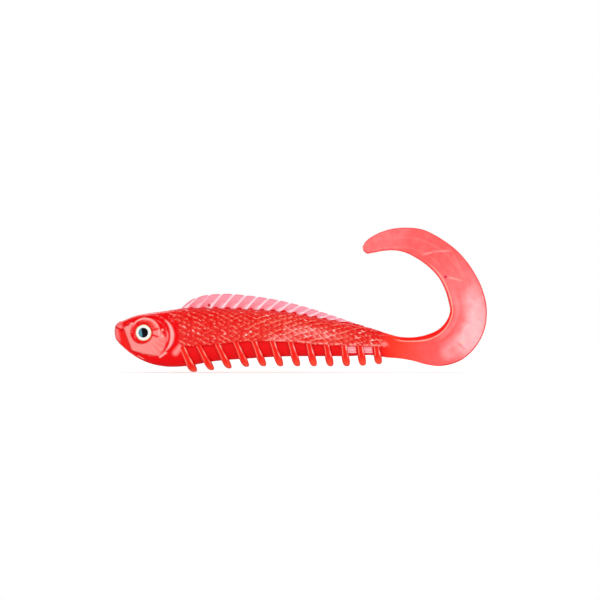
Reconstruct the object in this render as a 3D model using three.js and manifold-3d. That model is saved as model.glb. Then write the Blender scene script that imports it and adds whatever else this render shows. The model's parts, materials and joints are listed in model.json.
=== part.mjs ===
// A soft fish-shaped fishing bait with a ribbed belly, a dorsal fin and a curled ribbon tail.
// Millimetres. The origin is the middle of the flat nose, +X runs to the tail and +Z to the back.
// The moulding is split where it flexes, so that each flexing zone is a piece of its own.
import * as THREE from "three";
import { mergeVertices } from "three/addons/utils/BufferGeometryUtils.js";
import Module from "manifold-3d";

const wasm = await Module();
wasm.setup();

// Driving dimensions
const SIDES = 24; // sides of a body section, with a flat one on each flank
const SQUARENESS = 2.3; // exponent of the body section, 2 being an ellipse
const HEAD_END = 15.4;
const TRUNK_START = 15.7;
const TRUNK_END = 69.1;
const TAIL_START = 70; // leaves room for the tail to wag
const BENDS = [34.2, 43.15, 51.7, 60.2]; // where the trunk flexes from side to side
const BEND_GAP = 0.3; // between two trunk zones at mid-width
const BEND_SLOPE = Math.tan((6.4 * Math.PI) / 180); // each face leans away from the bend
const RIBS = 12;
const RIB_THICK = 1.6;
const RIB_RAISE = 0.5; // how far a rib stands out of the flank
const FINGER_GAP = 0.45; // between the core and the free part of a rib
const FIN_THICK = 0.8;
const FIN_GAP = 0.4; // between the back and the foot of the fin
const FIN_SPLIT = 0.6; // between two zones of the fin
const FIN_RAY_PITCH = 2.75;
const FIN_NOTCH = 0.3;
const TAIL_SLOT = 0.6;
const TAIL_STATIONS = 30;
const EYE_X = 7.88; // where the line of sight leaves the middle plane
const EYE_Z = -0.4;
const EYE_TURN = (9 * Math.PI) / 180; // the eye looks a little forward
const SOCKET_RADIUS = 2.4;
const EYE_RADIUS = 2.0;
const SOCKET_FLOOR = 2.15; // from the middle of the head
const DISC_BACK = 2.45;
const DISC_THICK = 0.35;
const DOME_BACK = 2.95;
const DOME_HEIGHT = 0.85;
const GILL_RAISE = 0.35;

// Sections of the body: distance from the nose, top, bottom, half width
const BODY = [
  [0, 1.3, -1.3, 1.0],
  [0.8, 2.3, -2.6, 1.5],
  [2.3, 2.8, -4.15, 2.1],
  [5.3, 4.05, -6.45, 2.8],
  [8.4, 4.55, -8.0, 3.3],
  [12.9, 5.1, -9.0, 4.0],
  [17.3, 5.72, -8.95, 4.4],
  [25, 5.75, -7.7, 4.4],
  [34.2, 5.45, -6.95, 4.4],
  [43.15, 4.8, -6.42, 4.0],
  [51.7, 3.15, -6.4, 3.3],
  [60.2, 1.6, -6.35, 2.7],
  [65, 0.5, -6.15, 2.25],
  [69.1, -0.75, -6.65, 1.6],
];
// The fin's outer edge: x, z
const FIN_EDGE = [
  [16.9, 6.35],
  [19, 7.6],
  [22, 8.75],
  [26.5, 9.3],
  [34.2, 8.9],
  [42, 7.6],
  [48, 6.1],
  [55, 3.9],
  [63, 1.75],
];
// The ribbon tail's two edges, from its root round the curl to its tip
const TAIL_INNER = [
  [TAIL_START, -1],
  [75.1, -1.5],
  [81, 0.1],
  [84.9, 5.3],
  [82.7, 12.1],
  [77, 18.4],
  [70, 20.6],
  [64, 19.7],
  [62.9, 20.4],
];
const TAIL_OUTER = [
  [TAIL_START, -6.6],
  [75.1, -7.35],
  [82.2, -8.65],
  [92.6, -1.7],
  [92.6, 11.2],
  [85, 21.3],
  [74, 26.1],
  [65.3, 24],
  [62.7, 21.7],
];
// Each fold of the tail: a point on its inner edge and one on its outer edge
const TAIL_FOLDS = [
  [81.2, 0.25, 84.2, -8.35],
  [84.5, 6.6, 93.7, 7.8],
  [78.2, 17.5, 82.5, 23.3],
];
const TAIL_NODES = ["tail_root", "tail_lower", "tail_outer", "tail_tip"];
const TRUNK_NODES = ["trunk_front", "trunk_2", "trunk_3", "trunk_4", "trunk_rear"];

const root = new THREE.Group();
root.name = "soft_bait";

function material(name, color, roughness) {
  const made = new THREE.MeshStandardMaterial({ color, roughness });
  made.name = name;
  return made;
}

function addPiece(name, geometry, color, roughness) {
  const mesh = new THREE.Mesh(geometry, material(name, color, roughness));
  mesh.name = name;
  root.add(mesh);
}

function toSolid(geometry) {
  const bare = geometry.clone();
  bare.deleteAttribute("normal");
  bare.deleteAttribute("uv");
  const merged = mergeVertices(bare, 1e-4);
  const count = merged.attributes.position.count;
  const triVerts = merged.index
    ? new Uint32Array(merged.index.array)
    : Uint32Array.from({ length: count }, (_, i) => i);
  const vertProperties = Float32Array.from(merged.attributes.position.array);
  return new wasm.Manifold(new wasm.Mesh({ numProp: 3, vertProperties, triVerts }));
}

function toGeometry(solid) {
  const mesh = solid.getMesh();
  const geometry = new THREE.BufferGeometry();
  geometry.setAttribute("position", new THREE.BufferAttribute(Float32Array.from(mesh.vertProperties), 3));
  geometry.setIndex(new THREE.BufferAttribute(Uint32Array.from(mesh.triVerts), 1));
  const flat = geometry.toNonIndexed();
  flat.computeVertexNormals();
  return flat;
}

// The value of column `column` of a table at x, on straight lines between its rows
function along(table, x, column) {
  let i = 1;
  while (i < table.length - 1 && table[i][0] < x) i += 1;
  const a = table[i - 1];
  const b = table[i];
  const t = (x - a[0]) / (b[0] - a[0]);
  return a[column] + t * (b[column] - a[column]);
}

const backAt = (x) => along(BODY, x, 1);
const bellyAt = (x) => along(BODY, x, 2);
const halfWidthAt = (x) => along(BODY, x, 3);

// One section of the body at x, grown by `grow` all round
function bodyRing(x, grow) {
  const middle = (backAt(x) + bellyAt(x)) / 2;
  const high = (backAt(x) - bellyAt(x)) / 2 + grow;
  const wide = halfWidthAt(x) + grow;
  const ring = [];
  for (let i = 0; i < SIDES; i += 1) {
    const angle = ((i + 0.5) * 2 * Math.PI) / SIDES;
    const c = Math.cos(angle);
    const s = Math.sin(angle);
    const y = wide * Math.sign(c) * Math.abs(c) ** (2 / SQUARENESS);
    const z = middle + high * Math.sign(s) * Math.abs(s) ** (2 / SQUARENESS);
    ring.push(new THREE.Vector3(x, y, z));
  }
  return ring;
}

// A closed solid through rings of the same number of points
function loft(rings) {
  const size = rings[0].length;
  const points = rings.flat();
  const index = [];
  for (let r = 0; r < rings.length - 1; r += 1) {
    for (let i = 0; i < size; i += 1) {
      const a = r * size + i;
      const b = r * size + ((i + 1) % size);
      index.push(a, b, a + size);
      index.push(b, b + size, a + size);
    }
  }
  for (const [first, forward] of [[0, false], [(rings.length - 1) * size, true]]) {
    for (let i = 1; i < size - 1; i += 1) {
      if (forward) index.push(first, first + i, first + i + 1);
      else index.push(first, first + i + 1, first + i);
    }
  }
  const geometry = new THREE.BufferGeometry().setFromPoints(points);
  geometry.setIndex(index);
  const solid = toSolid(geometry);
  return solid.volume() > 0 ? solid : toSolid(geometry.setIndex(index.reverse()));
}

function bodyBetween(start, end, grow) {
  const stations = BODY.map((row) => row[0]).filter((x) => x > start && x < end);
  return loft([start, ...stations, end].map((x) => bodyRing(x, grow)));
}

// A prism with an outline in the X-Z plane, `thick` wide about the middle plane
function sidePrism(outline, thick) {
  const shape = new THREE.Shape(outline.map(([x, z]) => new THREE.Vector2(x, z)));
  const geometry = new THREE.ExtrudeGeometry(shape, { depth: thick, bevelEnabled: false });
  geometry.rotateX(Math.PI / 2);
  geometry.translate(0, thick / 2, 0);
  return toSolid(geometry);
}

// The wedge-sided slot at a trunk bend, open enough for the zones to swing
function bendSlot(x) {
  const reach = 7;
  const wide = BEND_GAP / 2 + reach * BEND_SLOPE;
  const outline = [
    [x - wide, -reach],
    [x + wide, -reach],
    [x + BEND_GAP / 2, 0],
    [x + wide, reach],
    [x - wide, reach],
    [x - BEND_GAP / 2, 0],
  ];
  const shape = new THREE.Shape(outline.map(([a, b]) => new THREE.Vector2(a, b)));
  const geometry = new THREE.ExtrudeGeometry(shape, { depth: 40, bevelEnabled: false });
  geometry.translate(0, 0, -20);
  return toSolid(geometry);
}

// Rib number n counted from 0: the ribs lean back less and less, and stand a little closer together
function ribAt(n) {
  const tipX = 20.2 + 4.5 * n - 0.0227 * n * n;
  const lean = n === 0 ? 0.46 : Math.max(0.15, 0.56 - 0.045 * n);
  const tipZ = Math.min(-10.35 + 0.42 * n, -8.95) + 0.02 * Math.max(0, n - 8) ** 3;
  const topZ = n < 2 || n > 7 ? -3.6 : -2.8;
  const coreZ = bellyAt(tipX - 2.5 * lean);
  const xAt = (z) => tipX - (z - tipZ) * lean;
  return { tipX, lean, tipZ, topZ, coreZ, xAt };
}

// The part of a rib that stands out of both flanks, above the free finger
function ribHoop(n) {
  const rib = ribAt(n);
  const low = rib.coreZ + 1.1;
  const half = RIB_THICK / 2;
  const outline = [
    [rib.xAt(low) - half, low],
    [rib.xAt(low) + half, low],
    [rib.xAt(rib.topZ) + half * 0.8, rib.topZ],
    [rib.xAt(rib.topZ) - half * 0.8, rib.topZ],
  ];
  const start = rib.xAt(rib.topZ) - 3;
  const grown = bodyBetween(start, start + 8, RIB_RAISE);
  return grown.intersect(sidePrism(outline, 20));
}

// The free part of a rib, a round-ended paddle under the core
function ribFinger(n) {
  const rib = ribAt(n);
  const top = rib.coreZ - FINGER_GAP;
  const wide = 0.58 * halfWidthAt(rib.xAt(top));
  const deep = top - rib.tipZ;
  const round = Math.min(deep * 0.75, wide);
  const shape = new THREE.Shape();
  shape.moveTo(-wide, 0);
  shape.lineTo(-wide * 0.9, -(deep - round));
  shape.absellipse(0, -(deep - round), wide * 0.9, round, Math.PI, 2 * Math.PI, false);
  shape.lineTo(wide, 0);
  const settings = { depth: RIB_THICK, bevelEnabled: false, curveSegments: 8 };
  const geometry = new THREE.ExtrudeGeometry(shape, settings);
  geometry.translate(0, 0, -RIB_THICK / 2);
  // Outline to the Y-Z plane, then slanted back along X
  const turn = new THREE.Matrix4().set(0, -rib.lean, 1, rib.xAt(top), 1, 0, 0, 0, 0, 1, 0, top, 0, 0, 0, 1);
  geometry.applyMatrix4(turn);
  return geometry;
}

// One zone of the fin between two distances from the nose
function finZone(start, end) {
  const outline = [];
  const foot = BODY.map((row) => row[0]).filter((x) => x > start && x < end);
  for (const x of [start, ...foot, end]) outline.push([x, backAt(x) + FIN_GAP]);
  const top = [[start, along(FIN_EDGE, start, 1)]];
  const first = Math.ceil((start - 16.9 + 0.5) / FIN_RAY_PITCH);
  for (let k = first; 16.9 + k * FIN_RAY_PITCH < end - 0.5; k += 1) {
    const tip = 16.9 + k * FIN_RAY_PITCH;
    const dip = tip + 0.45 * FIN_RAY_PITCH;
    top.push([tip, along(FIN_EDGE, tip, 1)]);
    if (dip < end - 0.4) top.push([dip, along(FIN_EDGE, dip, 1) - FIN_NOTCH]);
  }
  top.push([end, along(FIN_EDGE, end, 1) - 0.1]);
  return sidePrism([...outline, ...top.reverse()], FIN_THICK);
}

// The whole ribbon of the tail: thick at its root, thinner towards its tip, with bevelled edges
function tailRibbon() {
  const [inner, outer] = [TAIL_INNER, TAIL_OUTER].map((table) => {
    const points = table.map(([x, z]) => new THREE.Vector3(x, 0, z));
    return new THREE.CatmullRomCurve3(points, false, "centripetal");
  });
  const rings = [];
  for (let i = 0; i <= TAIL_STATIONS; i += 1) {
    const t = i / TAIL_STATIONS;
    const a = inner.getPoint(t);
    const b = outer.getPoint(t);
    const wrist = t < 0.3 ? Math.max(0, 1 - (a.x - TAIL_START) / 6) : 0;
    const bead = 0.75 - 0.2 * t + 0.25 * wrist;
    const rim = 0.6 - 0.15 * t + 0.4 * wrist;
    const bevel = Math.min(0.8, 0.3 * a.distanceTo(b)) / a.distanceTo(b);
    const near = a.clone().lerp(b, bevel);
    const far = a.clone().lerp(b, 1 - bevel);
    rings.push([
      new THREE.Vector3(a.x, 0.45 * bead, a.z),
      new THREE.Vector3(near.x, bead, near.z),
      new THREE.Vector3(far.x, rim, far.z),
      new THREE.Vector3(b.x, 0.45 * rim, b.z),
      new THREE.Vector3(b.x, -0.45 * rim, b.z),
      new THREE.Vector3(far.x, -rim, far.z),
      new THREE.Vector3(near.x, -bead, near.z),
      new THREE.Vector3(a.x, -0.45 * bead, a.z),
    ]);
  }
  return loft(rings);
}

// A slot right across the ribbon, along a fold
function foldSlot([x0, z0, x1, z1]) {
  const way = new THREE.Vector2(x1 - x0, z1 - z0).normalize();
  const side = new THREE.Vector2(-way.y, way.x).multiplyScalar(TAIL_SLOT / 2);
  const outline = [
    [x0 - 3 * way.x + side.x, z0 - 3 * way.y + side.y],
    [x0 - 3 * way.x - side.x, z0 - 3 * way.y - side.y],
    [x1 + 3 * way.x - side.x, z1 + 3 * way.y - side.y],
    [x1 + 3 * way.x + side.x, z1 + 3 * way.y + side.y],
  ];
  return sidePrism(outline.reverse(), 8);
}

// A turned piece of an eye, its axis along the way the eye looks, on one side of the head
function eyePiece(profile, side) {
  const geometry = new THREE.LatheGeometry(profile.map(([r, h]) => new THREE.Vector2(r, h)), 32);
  if (side < 0) geometry.rotateX(Math.PI);
  geometry.rotateZ(side * EYE_TURN);
  geometry.translate(EYE_X, 0, EYE_Z);
  return geometry;
}

function head() {
  let solid = bodyBetween(0, HEAD_END, 0);
  const cover = new THREE.Shape();
  cover.moveTo(11, 2.6);
  cover.quadraticCurveTo(13.4, 3.6, 15.1, -1);
  cover.quadraticCurveTo(13.6, -5.6, 10.4, -5.6);
  cover.quadraticCurveTo(11.6, -1.5, 11, 2.6);
  const outline = cover.getPoints(8).slice(0, -1).map((p) => [p.x, p.y]);
  const grown = bodyBetween(8, HEAD_END, GILL_RAISE);
  solid = solid.add(grown.intersect(sidePrism(outline.reverse(), 20)));
  const socket = [
    [0, SOCKET_FLOOR],
    [SOCKET_RADIUS, SOCKET_FLOOR],
    [SOCKET_RADIUS, 8],
    [0, 8],
  ];
  for (const side of [-1, 1]) solid = solid.subtract(toSolid(eyePiece(socket, side)));
  return solid;
}

function trunk() {
  let solid = bodyBetween(TRUNK_START, TRUNK_END, 0);
  for (let n = 0; n < RIBS; n += 1) solid = solid.add(ribHoop(n));
  for (const x of BENDS) solid = solid.subtract(bendSlot(x));
  return solid;
}

// The separate bodies of a cut solid, in order of the key
function bodiesInOrder(solid, key) {
  const middle = (s) => {
    const box = s.boundingBox();
    return [(box.min[0] + box.max[0]) / 2, (box.min[2] + box.max[2]) / 2];
  };
  return solid.decompose().sort((a, b) => key(...middle(a)) - key(...middle(b)));
}

addPiece("head", toGeometry(head()), 0xd8101c, 0.25);

bodiesInOrder(trunk(), (x) => x).forEach((solid, i) => {
  addPiece(TRUNK_NODES[i], toGeometry(solid), 0xd8101c, 0.3);
});

for (let n = 0; n < RIBS; n += 1) {
  const name = "rib_" + String(n + 1).padStart(2, "0");
  addPiece(name, toGeometry(toSolid(ribFinger(n))), 0xe23228, 0.3);
}

const finEnds = [17.2, ...BENDS, 63];
for (let i = 0; i < finEnds.length - 1; i += 1) {
  const start = finEnds[i] + (i > 0 ? FIN_SPLIT / 2 : 0);
  const end = finEnds[i + 1] - (i < finEnds.length - 2 ? FIN_SPLIT / 2 : 0);
  addPiece("fin_" + (i + 1), toGeometry(finZone(start, end)), 0xf58a98, 0.3);
}

let ribbon = tailRibbon();
for (const fold of TAIL_FOLDS) ribbon = ribbon.subtract(foldSlot(fold));
// The zones follow each other round the middle of the curl
const roundCurl = (x, z) => Math.atan2(z - 8, x - 70);
bodiesInOrder(ribbon, roundCurl).forEach((solid, i) => {
  addPiece(TAIL_NODES[i], toGeometry(solid), 0xf04a44, 0.25);
});

const disc = [
  [0, DISC_BACK],
  [EYE_RADIUS, DISC_BACK],
  [EYE_RADIUS, DISC_BACK + DISC_THICK],
  [0, DISC_BACK + DISC_THICK],
];
const dome = [[0, DOME_BACK], [EYE_RADIUS - 0.1, DOME_BACK]];
for (let i = 0; i <= 6; i += 1) {
  const angle = (i / 6) * (Math.PI / 2);
  dome.push([(EYE_RADIUS - 0.1) * Math.cos(angle), DOME_BACK + 0.15 + DOME_HEIGHT * Math.sin(angle)]);
}
dome[dome.length - 1][0] = 0;
for (const [suffix, side] of [["left", -1], ["right", 1]]) {
  addPiece("eye_disc_" + suffix, eyePiece(disc, side), 0xf2f2ea, 0.4);
  addPiece("eye_dome_" + suffix, eyePiece(dome, side), 0xe8f4f2, 0.05);
}

export default root;
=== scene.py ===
"""A soft fish-shaped bait with belly ribs, a dorsal fin and a curled ribbon tail, dressed over its frame.

The tables are in millimetres in the row frame: +X from the nose to the tail, +Z to the back.
"""

import json
import math

import bpy
import numpy as np
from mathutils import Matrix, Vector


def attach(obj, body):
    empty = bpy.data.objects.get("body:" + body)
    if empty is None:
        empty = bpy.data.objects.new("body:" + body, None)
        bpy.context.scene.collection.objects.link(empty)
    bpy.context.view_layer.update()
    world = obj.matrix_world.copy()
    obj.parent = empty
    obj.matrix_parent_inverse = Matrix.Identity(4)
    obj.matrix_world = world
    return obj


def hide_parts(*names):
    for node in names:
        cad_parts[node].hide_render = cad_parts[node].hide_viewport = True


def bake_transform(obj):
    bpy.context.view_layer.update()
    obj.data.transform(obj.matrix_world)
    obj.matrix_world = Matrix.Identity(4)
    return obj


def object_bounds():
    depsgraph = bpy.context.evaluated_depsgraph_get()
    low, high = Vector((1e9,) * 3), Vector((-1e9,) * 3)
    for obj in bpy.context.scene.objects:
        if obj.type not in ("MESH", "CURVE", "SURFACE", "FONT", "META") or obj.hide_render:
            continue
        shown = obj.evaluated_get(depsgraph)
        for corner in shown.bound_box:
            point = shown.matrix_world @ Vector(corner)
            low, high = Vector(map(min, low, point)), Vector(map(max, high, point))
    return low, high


MM = 0.001
AROUND = 336  # points round a section of the skin
BODY_STEP = 0.15  # between two sections of the head and trunk
TAIL_STEP = 0.3  # between two sections of the tail
END_LENGTH = 1.2  # the rounded ends, where the sections lie closer
TAIL_SECTION = 14  # the row of OUTLINE where the tail starts

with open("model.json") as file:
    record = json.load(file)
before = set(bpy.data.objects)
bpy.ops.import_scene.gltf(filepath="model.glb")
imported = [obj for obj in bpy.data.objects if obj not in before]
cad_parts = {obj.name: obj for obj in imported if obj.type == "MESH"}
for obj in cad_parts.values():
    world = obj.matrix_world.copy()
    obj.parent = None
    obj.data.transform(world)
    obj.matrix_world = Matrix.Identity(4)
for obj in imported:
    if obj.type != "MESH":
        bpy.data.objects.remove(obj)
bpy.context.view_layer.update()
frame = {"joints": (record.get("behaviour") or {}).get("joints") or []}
joints = {j["name"]: j for j in frame["joints"]}

# Sections from the nose round the curl: upper edge x, z, lower edge x, z, half thickness
OUTLINE = [
    (0.0, 0.2, 0.0, -0.2, 0.15),
    (0.15, 1.1, 0.15, -1.5, 0.95),
    (0.76, 2.0, 0.76, -2.6, 1.5),
    (2.28, 2.65, 2.28, -4.2, 2.1),
    (5.3, 3.85, 5.3, -6.5, 2.8),
    (8.35, 4.45, 8.35, -8.0, 3.3),
    (12.9, 5.05, 12.9, -9.0, 4.0),
    (17.5, 5.72, 17.5, -8.95, 4.35),
    (25.0, 5.77, 25.0, -7.7, 4.4),
    (34.2, 5.44, 34.2, -6.95, 4.35),
    (43.2, 4.8, 43.2, -6.45, 4.0),
    (52.4, 3.09, 52.4, -6.4, 3.3),
    (60.0, 1.72, 60.0, -6.35, 2.7),
    (64.5, 0.8, 64.5, -6.1, 2.3),
    (69.0, -0.65, 69.0, -6.7, 1.75),
    (72.1, -1.45, 72.1, -6.95, 1.2),
    (75.1, -1.6, 75.3, -7.5, 0.95),
    (78.2, -1.15, 79.0, -8.5, 0.85),
    (80.9, -0.2, 82.6, -8.85, 0.8),
    (83.1, 1.4, 87.6, -7.4, 0.75),
    (84.5, 3.6, 91.7, -3.5, 0.7),
    (84.9, 5.4, 93.75, 1.0, 0.7),
    (84.6, 7.0, 94.15, 5.2, 0.7),
    (83.75, 10.0, 93.05, 10.5, 0.65),
    (82.2, 13.2, 90.7, 15.25, 0.65),
    (79.6, 16.1, 87.0, 19.95, 0.6),
    (76.6, 18.3, 82.5, 23.4, 0.6),
    (73.3, 19.9, 77.6, 25.75, 0.55),
    (70.5, 20.4, 73.0, 26.15, 0.55),
    (67.4, 20.2, 68.8, 25.5, 0.5),
    (65.0, 19.75, 65.35, 24.0, 0.5),
    (63.5, 19.8, 63.35, 22.4, 0.45),
    (62.85, 20.4, 62.75, 21.4, 0.15),
]
# Where the scales end on the flank: x, z
SCALE_LINE = [(14, -4.0), (25.6, -3.24), (31, -2.63), (44, -2.63), (53, -3.4), (62, -3.7), (70, -4.1)]
# The fin's foot and outer edge: x, z
FIN_FOOT = [(16.7, 5.7), (29.1, 5.74), (35.7, 5.36), (42, 4.96), (47.1, 4.05), (55, 2.6), (63.2, 0.95)]
FIN_EDGE = [
    (16.7, 5.75),
    (19.0, 7.6),
    (22.0, 8.75),
    (26.5, 9.3),
    (34.2, 8.85),
    (42.0, 7.6),
    (48.0, 6.1),
    (55.0, 3.9),
    (63.2, 1.15),
]
RIBS = 12
EYE = (7.44, -0.4)
EYE_BASE = 7.88  # on the middle plane, because the eye looks a little forward


def linear(r, g, b):
    """A colour as seen on a screen, 0 to 255, in linear light."""
    return tuple((c / 255 / 12.92) if c < 11 else ((c / 255 + 0.055) / 1.055) ** 2.4 for c in (r, g, b))


RED = linear(224, 2, 9)
BELLY_RED = linear(222, 6, 12)
SCALE_RED = linear(220, 4, 8)
SCALE_PALE = linear(228, 84, 68)
SCALE_HIGHLIGHT = linear(250, 156, 134)
CREASE_SHADE_RED = linear(200, 0, 3)
RIB_RED = linear(236, 26, 16)
RIB_TIP_GLOW = linear(248, 88, 62)
RIB_HIGHLIGHT = linear(254, 178, 152)
TAIL_ROOT = linear(247, 57, 36)
TAIL_PINK = linear(250, 102, 102)
TAIL_PALE = linear(253, 198, 203)
TAIL_RIM = linear(232, 44, 52)
BEAD_RED = linear(240, 18, 10)
FIN_PINK = linear(243, 150, 166)
FIN_PALE = linear(246, 158, 178)
FIN_RAY = linear(255, 228, 236)
PLATE_REFLECTION = linear(243, 138, 134)
RIM_HIGHLIGHT = linear(247, 172, 168)


# --- shapes in numbers ---------------------------------------------------------------------


def smooth(low, high, x):
    """0 at low and 1 at high, with soft ends; low may be the larger."""
    t = np.clip((x - low) / (high - low), 0, 1)
    return t * t * (3 - 2 * t)


def spline(keys, values, at):
    """Smooth values through the keys, with slopes from their neighbours."""
    keys, values = np.asarray(keys, float), np.asarray(values, float)
    slopes = np.gradient(values, keys, axis=0)
    i = np.clip(np.searchsorted(keys, at, side="right") - 1, 0, len(keys) - 2)
    h = (keys[i + 1] - keys[i])[..., None]
    t = ((at - keys[i])[..., None]) / h
    a, b = values[i], values[i + 1]
    return (
        a * (1 + 2 * t) * (1 - t) ** 2
        + slopes[i] * h * t * (1 - t) ** 2
        + b * t * t * (3 - 2 * t)
        - slopes[i + 1] * h * t * t * (1 - t)
    )


def curve(table, x):
    """A smooth height through a table of x, z."""
    table = np.asarray(table, float)
    return spline(table[:, 0], table[:, 1:], np.asarray(x, float))[..., 0]


def mix(a, b, share):
    """From a to b, by share."""
    share = np.asarray(share)[..., None]
    return np.asarray(a) * (1 - share) + np.asarray(b) * share


def ridge(distance, width):
    """1 on a line and 0 past half its width, round on top."""
    t = np.clip(1 - (2 * distance / width) ** 2, 0, 1)
    return t * t * (3 - 2 * t)


def to_segment(x, z, a, b):
    """Distance from points to the line between a and b, and how far along it they are."""
    dx, dz = b[0] - a[0], b[1] - a[1]
    t = np.clip(((x - a[0]) * dx + (z - a[1]) * dz) / (dx * dx + dz * dz), 0, 1)
    return np.hypot(x - a[0] - t * dx, z - a[1] - t * dz), t


def inside(x, z, corners, soft):
    """1 inside a convex outline listed anticlockwise, falling to 0 across its edge."""
    depth = np.full(np.shape(x), 1e9)
    for a, b in zip(corners, corners[1:] + corners[:1]):
        dx, dz = b[0] - a[0], b[1] - a[1]
        depth = np.minimum(depth, (dx * (z - a[1]) - dz * (x - a[0])) / math.hypot(dx, dz))
    return smooth(-soft, soft, depth)


def softened(values):
    """The values of the skin's grid, each one shared with its neighbours."""
    before = np.concatenate([values[:1], values[:-1]])
    after = np.concatenate([values[1:], values[-1:]])
    values = (before + 2 * values + after) / 4
    return (np.roll(values, 1, 1) + 2 * values + np.roll(values, -1, 1)) / 4


def normals_of(points, closed):
    """The direction out of a grid of points, sections first."""
    if closed:
        across = np.roll(points, -1, 1) - np.roll(points, 1, 1)
    else:
        across = np.gradient(points, axis=1)
    along = np.gradient(points, axis=0)
    n = np.cross(across, along)
    length = np.linalg.norm(n, axis=-1, keepdims=True)
    return n / np.maximum(length, 1e-9)


# --- the skin: one surface from the nose to the tip of the tail ----------------------------

outline = np.array(OUTLINE)
middles = (outline[:, :2] + outline[:, 2:4]) / 2
keys = np.concatenate([[0], np.cumsum(np.hypot(*np.diff(middles, axis=0).T))])
tail_key = keys[TAIL_SECTION]
stations = np.concatenate(
    [
        np.linspace(0, 1, 9)[:-1] ** 1.6,
        np.arange(1, tail_key, BODY_STEP),
        np.arange(tail_key, keys[-1] - END_LENGTH, TAIL_STEP),
        keys[-1] - END_LENGTH * np.linspace(1, 0, 9) ** 1.6,
    ]
)
rows = spline(keys, outline, stations)
angle = 2 * np.pi * (np.arange(AROUND) + 0.5) / AROUND
side = np.sign(np.cos(angle))[None, :]
down = ((1 - np.sin(angle)) / 2)[None, :]  # 0 on the upper edge, 1 on the lower
X = rows[:, 0:1] + (rows[:, 2:3] - rows[:, 0:1]) * down
Z = rows[:, 1:2] + (rows[:, 3:4] - rows[:, 1:2]) * down
U = stations[:, None] + 0 * X
span = np.hypot(rows[:, 2] - rows[:, 0], rows[:, 3] - rows[:, 1])[:, None]
height = np.abs(2 * down - 1)
round_part = (1 - height**2.3) ** (1 / 2.3)
flat_part = (1 - height**12) ** (1 / 12)
to_ribbon = smooth(64, 74, U)
Y = rows[:, 4:5] * (round_part * (1 - to_ribbon) + flat_part * to_ribbon)

# The head: a flat cheek, a ring-shaped brow, a sunk socket, a mouth and a gill
from_eye = np.hypot(X - EYE[0], Z - EYE[1])
turn = np.arctan2(Z - EYE[1], X - EYE[0])
on_head = 1 - smooth(15.2, 16.2, X)
cheek_level = 2.86 + 0.15 * (X - 5.3) - 0.012 * (Z + 1.0) ** 2 * (Z > -1.0)
CHEEK = [
    (2.3, 0.7),
    (4.45, -4.8),
    (8.0, -5.75),
    (11.4, -6.2),
    (12.7, -4.2),
    (13.1, -1.8),
    (11.6, 0.3),
    (4.4, 2.1),
]
from_ring = np.hypot(X - 6.95, Z - EYE[1])
from_brow = np.hypot(X - 7.85, Z - EYE[1])
brow_disc = smooth(3.85, 3.6, from_brow) * smooth(-1.5, -0.5, Z) * on_head
cheek = inside(X, Z, CHEEK, 0.16) * on_head
Y = Y + (np.maximum(cheek_level, Y + 0.12) - Y) * cheek
Y = Y + (cheek_level - Y) * cheek * smooth(3.5, 2.8, from_ring)
brow_shape = brow_disc * smooth(2.75, 2.95, from_ring) * smooth(-0.25, 0.3, Z)
Y += 0.28 * brow_shape * smooth(4.0, 3.2, from_eye)
socket = smooth(3.0, 2.7, from_ring)
Y -= 0.42 * socket * on_head
streaks = np.zeros(X.shape)
for way in (0.27, -0.27):
    near, far = ((EYE[0] + r * math.cos(way), EYE[1] + r * math.sin(way)) for r in (2.2, 3.7))
    streaks = np.maximum(streaks, ridge(to_segment(X, Z, near, far)[0], 0.72))
Y -= 0.14 * streaks * on_head
jaw_groove = inside(X, Z, [(1.0, 0.3), (1.75, -2.4), (4.1, -5.5), (4.5, -4.9), (2.45, 0.7)], 0.2)
lip, _ = to_segment(X, Z, (0.3, 1.0), (2.1, 0.1))
lip_groove = ridge(lip, 0.55)
from_nostril = np.hypot(X - 3.5, Z - 1.6)
nostril = ridge(from_nostril, 0.8)
Y -= (0.3 * jaw_groove + 0.22 * lip_groove + 0.3 * nostril) * on_head
nostril_rim = ridge(np.abs(from_nostril - 0.55), 0.4)
Y += 0.1 * nostril_rim * on_head


def crescent(centre, radius, low, high, width):
    """A raised crescent on a circle, widest in its middle and pointed at its ends."""
    d = np.abs(np.hypot(X - centre[0], Z - centre[1]) - radius)
    a = np.arctan2(Z - centre[1], X - centre[0])
    t = np.clip((a - low) / (high - low), 0, 1)
    return ridge(d, np.maximum(width * np.sin(np.pi * t), 0.05))


gill = crescent((9.6, -1.1), 5.15, -0.92, 0.92, 1.15)
gill_inner = crescent((9.4, -1.2), 4.15, -0.5, 0.45, 0.5)
gill_foot, _ = to_segment(X, Z, (11.6, -6.5), (13.1, -5.45))
gill_foot = ridge(gill_foot, 0.6)
Y += (0.42 * gill + 0.16 * gill_inner + 0.25 * gill_foot) * on_head
from_gill = np.hypot(X - 9.6, Z + 1.1)
gill_turn = np.arctan2(Z + 1.1, X - 9.6)
gill_gap = smooth(5.45, 5.75, from_gill) * smooth(6.6, 5.9, from_gill)
Y -= 0.2 * gill_gap * smooth(-1.0, -0.8, gill_turn) * smooth(1.0, 0.8, gill_turn)
pectoral = inside(X, Z, [(14.4, -6.3), (16.9, -6.0), (17.0, -3.6), (16.6, -3.6)], 0.25)
Y += 0.12 * pectoral * smooth(14.2, 17, X)
pore_a, pore_b = np.hypot(X - 12.25, Z - 0.3), np.hypot(X - 12.2, Z + 1.3)
pores = ridge(np.minimum(pore_a, pore_b), 0.6)
Y += 0.1 * pores

# No step on the head is sharper than the moulding would keep
soft_head = (1 - smooth(16.5, 18.0, X)) * smooth(0.02, 0.08, down) * smooth(0.98, 0.92, down)
Y = Y + (softened(softened(Y)) - Y) * soft_head

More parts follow.
